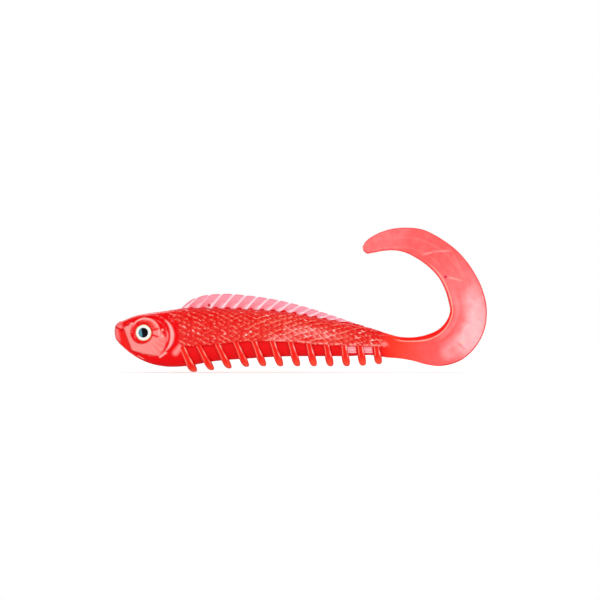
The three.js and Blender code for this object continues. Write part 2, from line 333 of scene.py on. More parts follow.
# The belly between the ribs is sunk and smooth
scale_z = curve(SCALE_LINE, np.clip(X, 14, 70))
behind_gill = smooth(16.4, 17.4, X - (Z + 3.6) * -0.45)
belly = smooth(0.0, 0.45, scale_z - Z) * behind_gill * (1 - smooth(67.2, 68.4, X))
Y *= 1 - 0.2 * belly

# The ribbon: a bead on its inner edge and a fine rim on its outer edge
from_inner, from_outer = down * span, (1 - down) * span
bead = smooth(71, 74, U) * (1 - 0.75 * smooth(92, 108, U))
bead_width = 0.85 + 0.3 * smooth(75, 81, U) - 0.6 * smooth(80, 94, U)
Y += 0.3 * ridge(np.abs(from_inner - 0.45 * bead_width), 1.2 * bead_width) * bead
Y -= 0.16 * smooth(0.5, 3.0, from_inner) * smooth(76, 84, U) * smooth(0.3, 1.2, from_outer)
Y = np.maximum(Y, 0)
surface = np.stack([X, Y * side, Z], -1)


# Scales: overlapping plates, no two alike, each rising to its rear edge
def scatter(a, b):
    """A fixed number from 0 to 1 for each pair of whole numbers, in no visible order."""
    return (np.sin(a * 12.99 + b * 78.23) * 4375.85) % 1


def facing_out(points):
    """Normals of the closed skin, turned to face away from its middle."""
    found = normals_of(points, True)
    return found if found[40, 0, 1] * side[0, 0] > 0 else -found


step = np.linalg.norm(np.diff(surface, axis=1, append=surface[:, :1]), axis=-1)
order = np.argsort((angle - np.pi / 2) % (2 * np.pi))
walked = np.cumsum(step[:, order], axis=1)
around = np.empty_like(walked)
around[:, order] = walked
around = np.minimum(around, walked[:, -1:] - around)  # the way down from the back
SCALE_LONG, SCALE_HIGH = 2.55, 0.66
HALF_LONG, HALF_HIGH = 1.66, 0.86
v = around / SCALE_HIGH + 0.22 * np.sin(X * 0.9) * np.sin(X * 0.37 + 1)
plates = []
for dr in (-1, 0, 1, 2):
    row = np.floor(v) + dr
    cell = np.floor(X / SCALE_LONG - 0.5 * (row % 2))
    for dc in (-1, 0, 1):
        column = cell + dc
        chance = scatter(row, column)
        cx = (column + 0.5 * (row % 2) + 0.16 * (chance - 0.5)) * SCALE_LONG
        wide = (v - row + 0.2 * (scatter(column, row) - 0.5)) * SCALE_HIGH
        reach = (np.abs((X - cx) / HALF_LONG) ** 1.35 + np.abs(wide / HALF_HIGH) ** 1.35) ** (1 / 1.35)
        plates.append((cx, reach, chance, wide))
front_most = np.full(X.shape, 1e9)
lift, edge, tone, low_side = (np.zeros(X.shape) for _ in range(4))
for cx, reach, chance, wide in plates:
    hit = (reach < 1) & (cx < front_most)
    front_most = np.where(hit, cx, front_most)
    lift = np.where(hit, np.clip(0.5 + 0.5 * (X - cx) / HALF_LONG, 0, 1), lift)
    edge = np.where(hit, smooth(0.7, 0.88, reach) * smooth(-0.3, 0.3, X - cx), edge)
    tone = np.where(hit, chance, tone)
    low_side = np.where(hit, smooth(-0.5, 0.4, wide), low_side)
shade_gap = np.full(X.shape, 1e9)
for cx, reach, chance, wide in plates:
    covers = (cx < front_most - 0.01) & (reach >= 1)
    shade_gap = np.where(covers, np.minimum(shade_gap, reach - 1), shade_gap)
crease = smooth(0.26, 0.06, shade_gap)
behind_head = smooth(16.2, 16.9, X + 0.97 * np.maximum(Z - 1.5, 0))
scaled = smooth(0.25, 0.0, scale_z - Z) * behind_head * (1 - smooth(67.0, 70.5, X))
normals = facing_out(surface)
relief = (0.16 * (lift - 0.6) * (0.7 + 0.6 * tone) - 0.03 * crease) * scaled
surface = surface + normals * softened(relief)[..., None]
normals = facing_out(surface)

# Paint, by place on the moulding, with painted highlights, reflections and shade among it
# Each scale is painted paler toward its raised rear part, painted light that shows the relief; paler still
# away from the back and toward the tail
exposed = smooth(0.35, 0.95, lift)
flank = exposed * (0.05 + 0.95 * smooth(1.2, 5.0, around))
flank = flank * (0.2 + 0.5 * smooth(24, 46, X)) * (0.4 + 1.2 * tone)
scale_paint = mix(np.broadcast_to(SCALE_RED, X.shape + (3,)), SCALE_PALE, np.clip(flank, 0, 1))
# The creases between the scales are painted a deeper red: painted shade
scale_paint = mix(scale_paint, CREASE_SHADE_RED, 0.95 * crease)
broken = scatter(np.floor(X / 0.6), np.floor(v * 1.7))
# Painted highlights in broken strokes along the lit edge of each scale, and scattered painted glints
lit_side = low_side + (1 - 2 * low_side) * (1 - smooth(28, 38, X))
highlight_stroke = edge * smooth(0.3, 0.75, broken) * (0.1 + lit_side) * (0.35 + 0.65 * smooth(0.8, 3.2, around))
scale_paint = mix(scale_paint, SCALE_HIGHLIGHT, 0.9 * highlight_stroke)
scale_paint = mix(scale_paint, linear(255, 216, 206), edge * (broken > 0.965) * smooth(1.2, 3.0, around))
# A painted sheen on the rear flank: the scales there are pinker, with curved pale highlights along their
# edges, all painted
painted_sheen = np.maximum(
    smooth(1.0, 0.4, np.hypot((X - 50.0) / 8.5, (Z + 0.4 + 0.14 * (X - 50)) / 1.9)),
    0.6 * smooth(1.0, 0.4, np.hypot((X - 42.5) / 5.0, (Z + 1.6) / 1.3)),
)
scale_paint = mix(scale_paint, linear(246, 142, 136), painted_sheen * (0.3 + 0.5 * tone) * exposed)
scale_paint = mix(scale_paint, linear(252, 188, 180), painted_sheen * 0.8 * edge * smooth(0.25, 0.6, broken))
rim_line = ridge(np.abs(scale_z - Z + 0.25), 0.6) * smooth(36, 44, X) * smooth(0.2, 0.6, broken)
scale_paint = mix(scale_paint, linear(250, 156, 146), 0.7 * rim_line)
paint = mix(np.broadcast_to(RED, X.shape + (3,)), scale_paint, scaled)
paint = mix(paint, BELLY_RED, belly)
# Two pale patches between the last ribs: painted light coming through a thin web that is not modelled
for patch_x in (59.85, 64.0):
    glow_patch = smooth(1.3, 0.95, np.abs(X - patch_x + 0.15 * (Z + 4.7))) * smooth(0.95, 0.65, np.abs(Z + 4.75))
    streaky = 0.78 + 0.22 * np.sin(Z * 9 + 0.6 * np.sin(X * 4))
    paint = mix(paint, linear(250, 186, 196), 0.9 * streaky * glow_patch * belly)
# The pale cheek plate and brow: a painted reflection of a broad light in the flat cheek, with redder streaks
# and a redder rear where it fades, and a painted highlight on its edge
pale = np.maximum(cheek, brow_disc) * smooth(2.75, 2.95, from_ring) * (1 - jaw_groove)
paint = mix(paint, PLATE_REFLECTION, 0.97 * pale * on_head)
fan = np.sin(turn * 27 + 0.5 * np.sin(from_eye * 1.7)) * smooth(3.2, 4.8, from_eye)
fan = fan * smooth(-1.25, -0.85, turn) * smooth(0.1, -0.25, turn)
paint = mix(paint, linear(238, 70, 62), 0.42 * smooth(-0.4, 1.0, fan) * pale)
paint = mix(paint, linear(238, 84, 78), 0.35 * smooth(9.5, 13.0, X) * pale)
plate_edge = cheek * (1 - cheek) * 4
paint = mix(paint, RIM_HIGHLIGHT, 0.5 * plate_edge * pale * on_head)
# Painted highlights on the raised brow, kept red on its inner edge, with a thin pale painted highlight round
# its outside
paint = mix(paint, linear(243, 128, 120), np.clip(brow_shape, 0, 1))
inner_red = smooth(1.3, 0.4, from_ring - 2.85) * smooth(0.05, 0.5, turn) * smooth(1.5, 0.9, turn)
inner_top = smooth(0.75, 0.25, from_ring - 2.85) * smooth(0.3, 0.9, turn) * smooth(3.0, 2.3, turn)
paint = mix(paint, linear(232, 26, 26), np.clip(0.75 * inner_red + 0.8 * inner_top, 0, 0.9) * brow_shape)
brow_highlight = ridge(np.abs(from_brow - 3.55), 0.5) * smooth(-0.35, 0.0, turn) * smooth(2.7, 2.2, turn) * on_head
paint = mix(paint, linear(250, 170, 164), 0.9 * brow_highlight)
# A short painted highlight on the chin
chin_highlight = ridge(to_segment(X, Z, (6.1, -6.3), (7.4, -7.0))[0], 0.35)
paint = mix(paint, linear(250, 150, 140), 0.8 * chin_highlight)
# Painted highlights on the gill crescents and the gill's foot
paint = mix(paint, RIM_HIGHLIGHT, np.clip(1.5 * gill + gill_inner * 0.6 + 1.3 * gill_foot, 0, 1) * on_head)
from_pectoral, _ = to_segment(X, Z, (16.9, -3.8), (15.5, -5.5))
pectoral_gleam = smooth(1.15, 0.1, from_pectoral) * smooth(17.3, 16.7, X + 0.4 * (Z + 4))
paint = mix(paint, linear(246, 146, 140), 0.85 * pectoral_gleam)
paint = mix(paint, linear(252, 190, 180), np.clip(1.4 * pores, 0, 1))
# Painted highlights along the lower lip, the snout and the top edge of the head
lower_lip = smooth(0.55, 0.2, np.hypot(X - rows[:, 2:3], Z - rows[:, 3:4])) * (1 - smooth(4.0, 8.0, X))
snout = smooth(2.6, 0.9, X) * smooth(-3.4, -1.5, Z)
top_rim = smooth(0.5, 0.15, np.hypot(X - rows[:, 0:1], Z - rows[:, 1:2])) * (1 - smooth(13, 15.5, X))
rims = np.clip(0.7 * lower_lip + 0.8 * snout + 0.8 * top_rim, 0, 1)
paint = mix(paint, linear(243, 122, 122), rims * (1 - jaw_groove) * (1 - lip_groove))
paint = mix(paint, linear(230, 26, 22), np.clip(jaw_groove, 0, 1) * on_head)
# Painted shade in the lip groove and the nostril
paint = mix(paint, linear(216, 6, 14), np.clip(1.3 * lip_groove + 1.2 * nostril, 0, 1) * on_head)
paint = mix(paint, linear(232, 20, 24), np.clip(1.2 * streaks, 0, 1) * on_head)

paint = mix(paint, softened(paint), np.clip(on_head + 0.5 * scaled, 0, 1))

width_share = np.clip(from_inner / np.maximum(span, 0.1), 0, 1)
tail_pink = smooth(70, 85, U) * smooth(-0.3, 0.5, width_share + 0.02 * (U - 80))
ribbon_paint = mix(np.broadcast_to(TAIL_ROOT, X.shape + (3,)), TAIL_PINK, tail_pink)
drawn = np.sin(width_share * 23 + 1.7 * np.sin(U * 0.21)) * np.sin(width_share * 9 + U * 0.13)
ribbon_paint = mix(ribbon_paint, TAIL_PALE, 0.08 * smooth(0.1, 0.9, drawn) * smooth(78, 90, U))
# Painted highlights on the ribbon: a broad pale reflection on the outer part of the curl and a pale line
# beside the bead; the other terms make the ribbon paler
tail_reflection = smooth(8.5, 1.5, np.hypot((X - 91.0) * 1.3, (Z - 0.8) * 0.58)) * smooth(0.15, 0.6, width_share)
pale_low = smooth(3.4, 0.6, to_segment(X, Z, (84.8, -5.2), (90.0, -1.2))[0])
bead_side_highlight = smooth(0.9, 0.2, np.abs(from_inner - 1.9)) * smooth(80, 88, U) * smooth(104, 94, U)
mid_pale = smooth(93, 99, U) * smooth(112, 104, U)
pale_tip = smooth(120, 124, U)
pale_all = 0.95 * tail_reflection + 0.45 * pale_low + 0.25 * bead_side_highlight + 0.14 * mid_pale + 0.14 * pale_tip
pale_all = np.clip(pale_all, 0, 1)
ribbon_paint = mix(ribbon_paint, TAIL_PALE, pale_all)
ribbon_paint = mix(ribbon_paint, BEAD_RED, smooth(bead_width + 0.1, bead_width - 0.25, from_inner) * bead)
# A painted highlight in a line just outside the bead
bead_highlight = ridge(np.abs(from_inner - bead_width - 0.12), 0.5)
bead_highlight = bead_highlight * smooth(70.8, 73, U) * (1 - smooth(106, 114, U))
ribbon_paint = mix(ribbon_paint, linear(255, 178, 160), (0.5 + 0.35 * smooth(74, 80, U)) * bead_highlight)
outer_rim = smooth(0.42, 0.2, from_outer) * smooth(78, 84, U)
ribbon_paint = mix(ribbon_paint, TAIL_RIM, (0.95 - 0.4 * smooth(98, 106, U)) * outer_rim)
ribbon_paint = mix(ribbon_paint, TAIL_RIM, 0.6 * smooth(0.4, 0.18, from_inner) * smooth(92, 100, U))
# Creases in the ribbon: their two ends and colour
for a, b, colour in (
    ((77.6, 19.2), (81.0, 20.1), (255, 196, 192)),
    ((80.4, 20.1), (85.3, 20.3), (255, 196, 192)),
    ((85.3, 20.2), (88.6, 13.2), (252, 150, 150)),
    ((83.2, 13.9), (88.3, 12.6), (255, 196, 184)),
    ((86.4, -2.6), (89.3, -5.3), (246, 104, 104)),
    ((87.4, -2.9), (88.6, -3.0), (250, 214, 170)),
):
    far, share = to_segment(X, Z, a, b)
    line = 0.6 * ridge(far, 0.62) * np.sin(np.pi * np.clip(share, 0.02, 0.98))
    ribbon_paint = mix(ribbon_paint, linear(*colour), line)
from_fleck = np.hypot((X - 83.7) * 0.7, Z - 13.7)
ribbon_paint = mix(ribbon_paint, linear(214, 10, 92), smooth(0.45, 0.2, from_fleck))
paint = mix(paint, ribbon_paint, smooth(66.5, 72.5, U))
paint = mix(paint, linear(250, 150, 140), 0.6 * smooth(1.3, 0.3, np.hypot(X - 68.2, (Z + 3.3) * 1.4)))

# The finish holds the roughness in its red and what the light passes through in its blue
roughness = 0.16 + 0.14 * scaled + 0.06 * belly + 0.1 * to_ribbon
thin = to_ribbon * smooth(72, 90, U) * (1 - 0.8 * ridge(np.abs(from_inner - 0.45), 1.3) * bead)
finish = np.stack([roughness, 0 * thin, thin], -1)


def grid_object(name, points, vertex_normals, colours, finishes, closed, flip=False):
    """A mesh over a grid of points, in millimetres, with its normals, paint and finish stored on it."""
    n, m = points.shape[:2]
    index = np.arange(n * m).reshape(n, m)
    right = np.roll(index, -1, 1) if closed else index[:, 1:]
    left = index if closed else index[:, :-1]
    quads = np.stack([left[:-1], right[:-1], right[1:], left[1:]], -1).reshape(-1, 4)
    if flip:
        quads = quads[:, ::-1]
    mesh = bpy.data.meshes.new(name)
    mesh.vertices.add(n * m)
    mesh.vertices.foreach_set("co", (points * MM).astype(np.float32).ravel())
    mesh.loops.add(quads.size)
    mesh.loops.foreach_set("vertex_index", quads.astype(np.int32).ravel())
    mesh.polygons.add(len(quads))
    mesh.polygons.foreach_set("loop_start", np.arange(0, quads.size, 4, dtype=np.int32))
    mesh.polygons.foreach_set("use_smooth", np.ones(len(quads), bool))
    mesh.update()
    mesh.validate()
    for label, values in (("paint", colours), ("finish", finishes)):
        layer = mesh.attributes.new(label, "FLOAT_COLOR", "POINT")
        rgba = np.concatenate([values.reshape(-1, 3), np.ones((n * m, 1))], 1)
        layer.data.foreach_set("color", rgba.astype(np.float32).ravel())
    if vertex_normals is not None:
        mesh.normals_split_custom_set_from_vertices(vertex_normals.reshape(-1, 3).tolist())
    made = bpy.data.objects.new(name, mesh)
    bpy.context.scene.collection.objects.link(made)
    return made


def point_of(joint):
    """Where a joint lies, in millimetres."""
    return np.array(joints[joint]["pos_m"]) / MM


# Each length of skin: its name, end station, joint, half the bend's length, nodes.
LENGTHS = [
    ("skin_head", 38.7, "trunk_bend_1", 3.2, ["head", "trunk_front"]),
    ("skin_2", 47.4, "trunk_bend_2", 3.2, ["trunk_2"]),
    ("skin_3", 56.0, "trunk_bend_3", 3.2, ["trunk_3"]),
    ("skin_4", 64.9, "trunk_bend_4", 3.2, ["trunk_4"]),
    ("skin_wrist", 75.6, "tail_wag", 3.6, ["trunk_rear"]),
    ("skin_tail_lower", 90.5, "tail_flutter_1", 3.5, ["tail_root"]),
    ("skin_tail_outer", 109.0, "tail_flutter_2", 2.6, ["tail_lower"]),
    ("skin_tail_tip", math.inf, "tail_flutter_3", 2.8, ["tail_outer", "tail_tip"]),
]
skins = []
first = 0
for name, end, joint, reach, nodes in LENGTHS:
    last = min(int(np.searchsorted(stations, end)), len(stations) - 1)
    part = slice(first, last + 1)
    made = grid_object(name, surface[part], normals[part], paint[part], finish[part], True)
    j = joints[joint]
    if joint.startswith("tail_flutter"):
        axis = np.array(j["axis"])
        way = np.array([-axis[2], 0, axis[0]])
        if ((surface[last].mean(0) - surface[first].mean(0)) @ way) < 0:
            way = -way
    else:
        way = np.array([1.0, 0, 0])
    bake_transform(made)
    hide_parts(*nodes)
    skins.append(made)
    first = last

# --- ribs ----------------------------------------------------------------------------------

RIB_ARC = 65  # points along a rib, from flank to flank
RIB_ROUND = 28  # points round it
RIB_BURIED = 0.5  # how deep its root lies in the skin


def body_at(x):
    """Top, bottom and half width of the body at x."""
    body = outline[: TAIL_SECTION + 1]
    return spline(body[:, 0], body[:, [1, 3, 4]], np.asarray(x, float))


def make_rib(n):
    """Rib n, counted from the head: a rounded bar that hugs the belly and hangs below it."""
    tip_x = 20.1 + 4.5 * n - 0.0227 * n * n
    lean = 0.46 if n == 0 else max(0.15, 0.56 - 0.045 * n)
    tip_z = min(-10.35 + 0.42 * n, -8.95) + 0.02 * max(0, n - 8) ** 3

    def x_at(z):
        return tip_x - (z - tip_z) * lean

    foot_z = float(curve(SCALE_LINE, tip_x - 5 * lean)) + 0.12
    top, bottom, half_width = body_at(tip_x - 3.5 * lean)
    middle, high = (top + bottom) / 2, (top - bottom) / 2
    foot_angle = math.asin(max(-1, min(1, (foot_z - middle) / high)))
    a = np.linspace(foot_angle, -math.pi - foot_angle, RIB_ARC)
    s, c = np.sin(a), np.cos(a)
    y = half_width * np.sign(c) * (1 - np.abs(s) ** 2.3) ** (1 / 2.3) * 0.82
    z = middle + high * s
    out_y, out_z = np.gradient(z), -np.gradient(y)
    length = np.hypot(out_y, out_z)
    out_y, out_z = out_y / length, out_z / length
    if out_z[RIB_ARC // 2] > 0:
        out_y, out_z = -out_y, -out_z
    centre = np.clip(1 - np.abs(np.linspace(-1, 1, RIB_ARC)), 0, 1)
    deep = bottom - tip_z
    stand = 0.95 + (deep - 0.95) * smooth(0.45, 0.97, centre)
    stand = stand * (0.55 + 0.45 * smooth(0.0, 0.08, centre))
    around_rib = 2 * np.pi * (np.arange(RIB_ROUND) + 0.5) / RIB_ROUND
    ca, sa = np.cos(around_rib), np.sin(around_rib)
    radial = np.sign(ca) * np.abs(ca) ** 0.85
    across = np.sign(sa) * np.abs(sa) ** 0.75
    thick = (1.12 if n == 0 else 0.98) * (0.76 + 0.24 * smooth(0.2, 0.75, centre))
    mid = (stand - RIB_BURIED) / 2
    reach = (stand + RIB_BURIED) / 2
    offset = mid[:, None] + reach[:, None] * radial[None]
    py = y[:, None] + out_y[:, None] * offset
    pz = z[:, None] + out_z[:, None] * offset
    px = x_at(pz) + thick[:, None] * across[None]
    points = np.stack([px, py, pz], -1)
    tipness = smooth(bottom + 0.2, tip_z, pz)
    # Lighter toward the tip: painted light let through the thin tip
    colours = mix(np.broadcast_to(RIB_RED, pz.shape + (3,)), RIB_TIP_GLOW, 0.75 * tipness)
    above = smooth(bottom - 0.9, bottom + 1.2, pz)
    # Painted highlights along both sides of each rib, broken along its length
    rear_highlight = ridge(np.abs(across[None] - 0.7) + 0 * pz, 0.56) * above
    front_highlight = ridge(np.abs(across[None] + 0.74) + 0 * pz, 0.46) * above
    highlight_breaks = 0.6 + 0.4 * np.sin(pz * 2.3 + n * 1.9)
    colours = mix(colours, RIB_HIGHLIGHT, 0.4 * front_highlight)
    rear_highlight_colour = mix(RIB_HIGHLIGHT, linear(252, 196, 190), min(1, n / 7))
    colours = mix(colours, rear_highlight_colour, 0.85 * rear_highlight * highlight_breaks)
    finishes = np.stack([0.2 + 0.12 * tipness, 0 * pz, 0 * pz], -1)
    # Each end closes on its middle
    ends = [np.repeat(row.mean(1, keepdims=True), RIB_ROUND, 1) for row in (points[:1], points[-1:])]
    closed_points = np.concatenate([ends[0], points, ends[1]])
    colours = np.concatenate([colours[:1], colours, colours[-1:]])
    finishes = np.concatenate([finishes[:1], finishes, finishes[-1:]])
    name = f"belly_rib_{n + 1:02d}"
    made = grid_object(name, closed_points, None, colours, finishes, True)
    node = f"rib_{n + 1:02d}"
    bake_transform(made)
    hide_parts(node)
    return made


ribs = [make_rib(n) for n in range(RIBS)]

# --- the dorsal fin ------------------------------------------------------------------------

RAYS = 17
RAY_LEAN = 3.0  # how far the foot of a ray lies ahead of its tip
RAY_GAP = 0.01  # between two zones, as a share of the way from ray to ray
FIN_START, FIN_END = FIN_FOOT[0][0], FIN_FOOT[-1][0]
FIN_BURIED = 0.55  # how deep the foot lies in the skin


def ray_edge(k):
    """The x of ray k on the outer edge: the rays crowd a little towards the tail."""
    return 20.75 + 3.24 * k - 0.037 * k * k


def make_fin(index, start_ray, end_ray):
    """One zone of the fin, between two rays, as a thin web with a scalloped edge."""
    rays = np.linspace(start_ray + RAY_GAP, end_ray - RAY_GAP, int((end_ray - start_ray) * 20) + 1)
    edge_x = ray_edge(rays)
    foot_x = edge_x - RAY_LEAN
    phase = rays % 1
    rise = np.linspace(0, 1, 22)
    foot_x = np.clip(foot_x, FIN_START, FIN_END)
    foot_z = curve(FIN_FOOT, foot_x) - FIN_BURIED
    scallop = 0.34 * (1 - np.abs(2 * phase - 1) ** 5) - 0.24
    edge_at = np.clip(edge_x, FIN_START, FIN_END)
    scallop = scallop * smooth(17, 21, edge_x) * (1 - 0.5 * smooth(50, 62, edge_x))
    edge_z = curve(FIN_EDGE, edge_at) + scallop
    edge_z = np.maximum(edge_z, foot_z + 0.3)
    h = rise[None, :]
    px = foot_x[:, None] + (edge_at - foot_x)[:, None] * h**1.25
    pz = foot_z[:, None] + (edge_z - foot_z)[:, None] * h
    off_ray = np.minimum(phase, 1 - phase)[:, None]
    faint = 1 - 0.65 * smooth(0.5, 0.3, np.abs(rays - 1))[:, None]
    on_ray = ridge(off_ray + 0 * h, 0.32 - 0.06 * h) * faint
    shown_high = np.maximum(edge_z - foot_z - FIN_BURIED, 0.2)[:, None]
    shown = np.clip((pz - foot_z[:, None] - FIN_BURIED) / shown_high, 0, 1)
    phase = phase[:, None]
    thick = (0.46 - 0.2 * h) * (1 - 0.25 * smooth(40, 62, px)) + 0.12 * on_ray + 0.1 * (phase - 0.5)
    thick = thick * np.sqrt(np.clip(1 - h**8, 0.0, 1))
    left = np.stack([px, -thick, pz], -1)
    right = np.stack([px, thick, pz], -1)
    points = np.concatenate([left, right[:, ::-1]], 1)
    web = mix(np.broadcast_to(FIN_PINK, px.shape + (3,)), FIN_PALE, smooth(30, 50, px))
    web = mix(web, linear(244, 100, 112), 0.45 * smooth(0.75, 0.15, shown) * (1 - 0.6 * smooth(30, 55, px)))
    foot_arc = smooth(0.34, 0.12, np.abs(shown - 0.1 - 0.4 * (0.5 - phase) ** 2)) * smooth(0.45, 1.0, phase)
    ray_colour = mix(np.broadcast_to(FIN_RAY, px.shape + (3,)), linear(255, 248, 250), smooth(34, 46, px))
    colours = mix(web, ray_colour, np.clip(0.95 * on_ray + 0.6 * foot_arc, 0, 1))
    colours = mix(colours, linear(240, 112, 132), 0.4 * smooth(0.9, 1.0, h + 0 * px) * (1 - on_ray))
    fleck = smooth(0.5, 0.3, np.hypot(px - 23.9, pz - 6.5))
    colours = mix(colours, linear(205, 0, 30), fleck)
    hump = (0.5 + 0.5 * np.cos(2 * np.pi * (phase - 0.36))) ** 1.5
    wave = 0.44 + 0.46 * hump * (1 - 0.8 * smooth(48, 58, px))
    red_foot = smooth(0.1, -0.06, pz - foot_z[:, None] - wave)
    colours = mix(colours, SCALE_RED, red_foot)
    colours = np.concatenate([colours, colours[:, ::-1]], 1)
    window = (0.3 + 0.3 * h + 0.4 * on_ray * smooth(34, 44, px)) * (1 - red_foot)
    finishes = np.stack([0.2 + 0.12 * h + 0 * px, 0 * px, window], -1)
    finishes = np.concatenate([finishes, finishes[:, ::-1]], 1)
    made = grid_object(f"dorsal_fin_{index}", points, None, colours, finishes, False, flip=True)
    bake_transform(made)
    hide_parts(f"fin_{index}")
    return made


def ray_near(x):
    """The whole ray whose middle lies nearest to x."""
    k = np.arange(0, RAYS + 1)
    return int(k[np.argmin(np.abs(ray_edge(k) - RAY_LEAN / 2 - x))])


bends = [point_of(f"trunk_bend_{i}")[0] for i in (1, 2, 3, 4)]
cuts = [-1.15] + [ray_near(x) for x in bends] + [16.2]
fins = [make_fin(i + 1, cuts[i], cuts[i + 1]) for i in range(5)]

# --- eyes ----------------------------------------------------------------------------------


EYE_SIDES = 48
EYE_RADIUS = 2.0
EYE_TURN = math.radians(9)  # how far forward the eye looks


def turned(profile, flank):
    """A round piece of an eye about the way it looks; the profile is radius and height."""
    a = 2 * np.pi * np.arange(EYE_SIDES) / EYE_SIDES
    profile = np.array(profile, float)
    r, h = profile[:, 0:1], profile[:, 1:2]
    local = np.stack([r * np.cos(a), -(h + 0 * a), r * np.sin(a)], -1)
    cos_turn, sin_turn = math.cos(EYE_TURN), math.sin(EYE_TURN)
    x = local[..., 0] * cos_turn + local[..., 1] * sin_turn
    y = -local[..., 0] * sin_turn + local[..., 1] * cos_turn
    points = np.stack([x + EYE_BASE, y * (1 if flank < 0 else -1), local[..., 2] + EYE[1]], -1)
    return points, local


def make_eye(flank):
    """The printed disc and the clear dome of one eye; flank is -1 for the left."""
    suffix = "left" if flank < 0 else "right"
    radii = np.linspace(0.0001, EYE_RADIUS, 33)
    disc = [(r, 2.84) for r in radii] + [(EYE_RADIUS, 2.45), (0.0001, 2.45)]
    points, local = turned(disc, flank)
    radius = np.hypot(local[..., 0], local[..., 2])
    colours = np.broadcast_to(linear(255, 255, 250), points.shape).copy()
    colours = mix(colours, linear(214, 226, 170), smooth(1.72, 1.95, radius))
    pupil = np.hypot(local[..., 0] + 0.05, local[..., 2])
    colours = mix(colours, linear(7, 8, 12), smooth(1.29, 1.19, pupil))
    # The teal crescent on the pupil is a painted reflection in the dome
    teal_reflection = smooth(1.22, 1.1, pupil) * smooth(-0.36, -0.5, local[..., 0] + 0.1 * np.sin(local[..., 2] * 2.2))
    colours = mix(colours, linear(84, 158, 176), 0.95 * teal_reflection)
    finishes = np.zeros(points.shape)
    print_disc = grid_object(f"eye_print_{suffix}", points, None, colours, finishes, True, flip=flank > 0)
    dome = [(0.0001, 2.9), (1.95, 2.9), (EYE_RADIUS, 2.95)]
    for a in np.linspace(0, math.pi / 2, 14):
        dome.append((EYE_RADIUS * math.cos(a) + 0.0001, 3.05 + 0.75 * math.sin(a)))
    points, _ = turned(dome, flank)
    clear = np.broadcast_to((0.95, 0.97, 0.97), points.shape)
    finishes = np.zeros(points.shape)
    lens = grid_object(f"eye_lens_{suffix}", points, None, clear, finishes, True, flip=flank < 0)
    for piece, node, slot_name in ((print_disc, "eye_disc_", "eye_print"), (lens, "eye_dome_", "eye_clear")):
        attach(piece, "front")
        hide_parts(node + suffix)
    return print_disc, lens


eyes = [make_eye(-1), make_eye(1)]

# --- materials -----------------------------------------------------------------------------


def new_material(name):
    """A material with its nodes, its links and its shader."""
    material = bpy.data.materials.new(name)
    material.use_nodes = True
    nodes, links = material.node_tree.nodes, material.node_tree.links
    return material, nodes, links, nodes["Principled BSDF"]


def soft_plastic(name, grain, bump, specular, see_through=0.0, passed=(1, 1, 1)):
    """Soft PVC: its paint and finish from the mesh, with faint clouds in the colour and a fine skin."""
    material, nodes, links, shader = new_material(name)
    shader.inputs["Specular IOR Level"].default_value = specular
    paint_in = nodes.new("ShaderNodeAttribute")
    paint_in.attribute_name = "paint"
    finish_in = nodes.new("ShaderNodeAttribute")
    finish_in.attribute_name = "finish"
    split = nodes.new("ShaderNodeSeparateColor")
    links.new(finish_in.outputs["Color"], split.inputs["Color"])
    place = nodes.new("ShaderNodeTexCoord")
    clouds = nodes.new("ShaderNodeTexNoise")
    clouds.inputs["Scale"].default_value = 380
    clouds.inputs["Detail"].default_value = 6
    clouds.inputs["Roughness"].default_value = 0.65
    links.new(place.outputs["Object"], clouds.inputs["Vector"])
    shade = nodes.new("ShaderNodeMapRange")
    shade.inputs["From Min"].default_value = 0.3
    shade.inputs["From Max"].default_value = 0.7
    shade.inputs["To Min"].default_value = 1 - grain
    shade.inputs["To Max"].default_value = 1 + grain * 0.5
    links.new(clouds.outputs["Fac"], shade.inputs["Value"])
    clouded = nodes.new("ShaderNodeCombineXYZ")  # the clouds are deeper in colour, not darker
    clouded.inputs["X"].default_value = 1
    links.new(shade.outputs["Result"], clouded.inputs["Y"])
    links.new(shade.outputs["Result"], clouded.inputs["Z"])
    tint = nodes.new("ShaderNodeVectorMath")
    tint.operation = "MULTIPLY"
    links.new(paint_in.outputs["Color"], tint.inputs[0])
    links.new(clouded.outputs["Vector"], tint.inputs[1])
    links.new(tint.outputs["Vector"], shader.inputs["Base Color"])
    links.new(split.outputs["Red"], shader.inputs["Roughness"])
    fine = nodes.new("ShaderNodeTexNoise")
    fine.inputs["Scale"].default_value = 1400
    fine.inputs["Detail"].default_value = 3
    links.new(place.outputs["Object"], fine.inputs["Vector"])
    skin = nodes.new("ShaderNodeBump")
    skin.inputs["Strength"].default_value = bump
    skin.inputs["Distance"].default_value = 0.0001
    links.new(fine.outputs["Fac"], skin.inputs["Height"])
    links.new(skin.outputs["Normal"], shader.inputs["Normal"])
    if see_through:
        clear = nodes.new("ShaderNodeBsdfTransparent")
        clear.inputs["Color"].default_value = (*passed, 1)
        share = nodes.new("ShaderNodeMath")
        share.operation = "MULTIPLY"
        share.inputs[1].default_value = see_through
        links.new(split.outputs["Blue"], share.inputs[0])
        blend_node = nodes.new("ShaderNodeMixShader")
        links.new(share.outputs["Value"], blend_node.inputs["Fac"])
        links.new(shader.outputs["BSDF"], blend_node.inputs[1])
        links.new(clear.outputs["BSDF"], blend_node.inputs[2])
        links.new(blend_node.outputs["Shader"], nodes["Material Output"].inputs["Surface"])
    return material


def eye_print():
    """A printed film, with a painted reflection on its pupil: its paint from the mesh, matt and the same all
    over.
    """
    material, nodes, links, shader = new_material("eye_print_film")
    paint_in = nodes.new("ShaderNodeAttribute")
    paint_in.attribute_name = "paint"
    links.new(paint_in.outputs["Color"], shader.inputs["Base Color"])
    shader.inputs["Roughness"].default_value = 0.5
    shader.inputs["Specular IOR Level"].default_value = 0.1
    return material


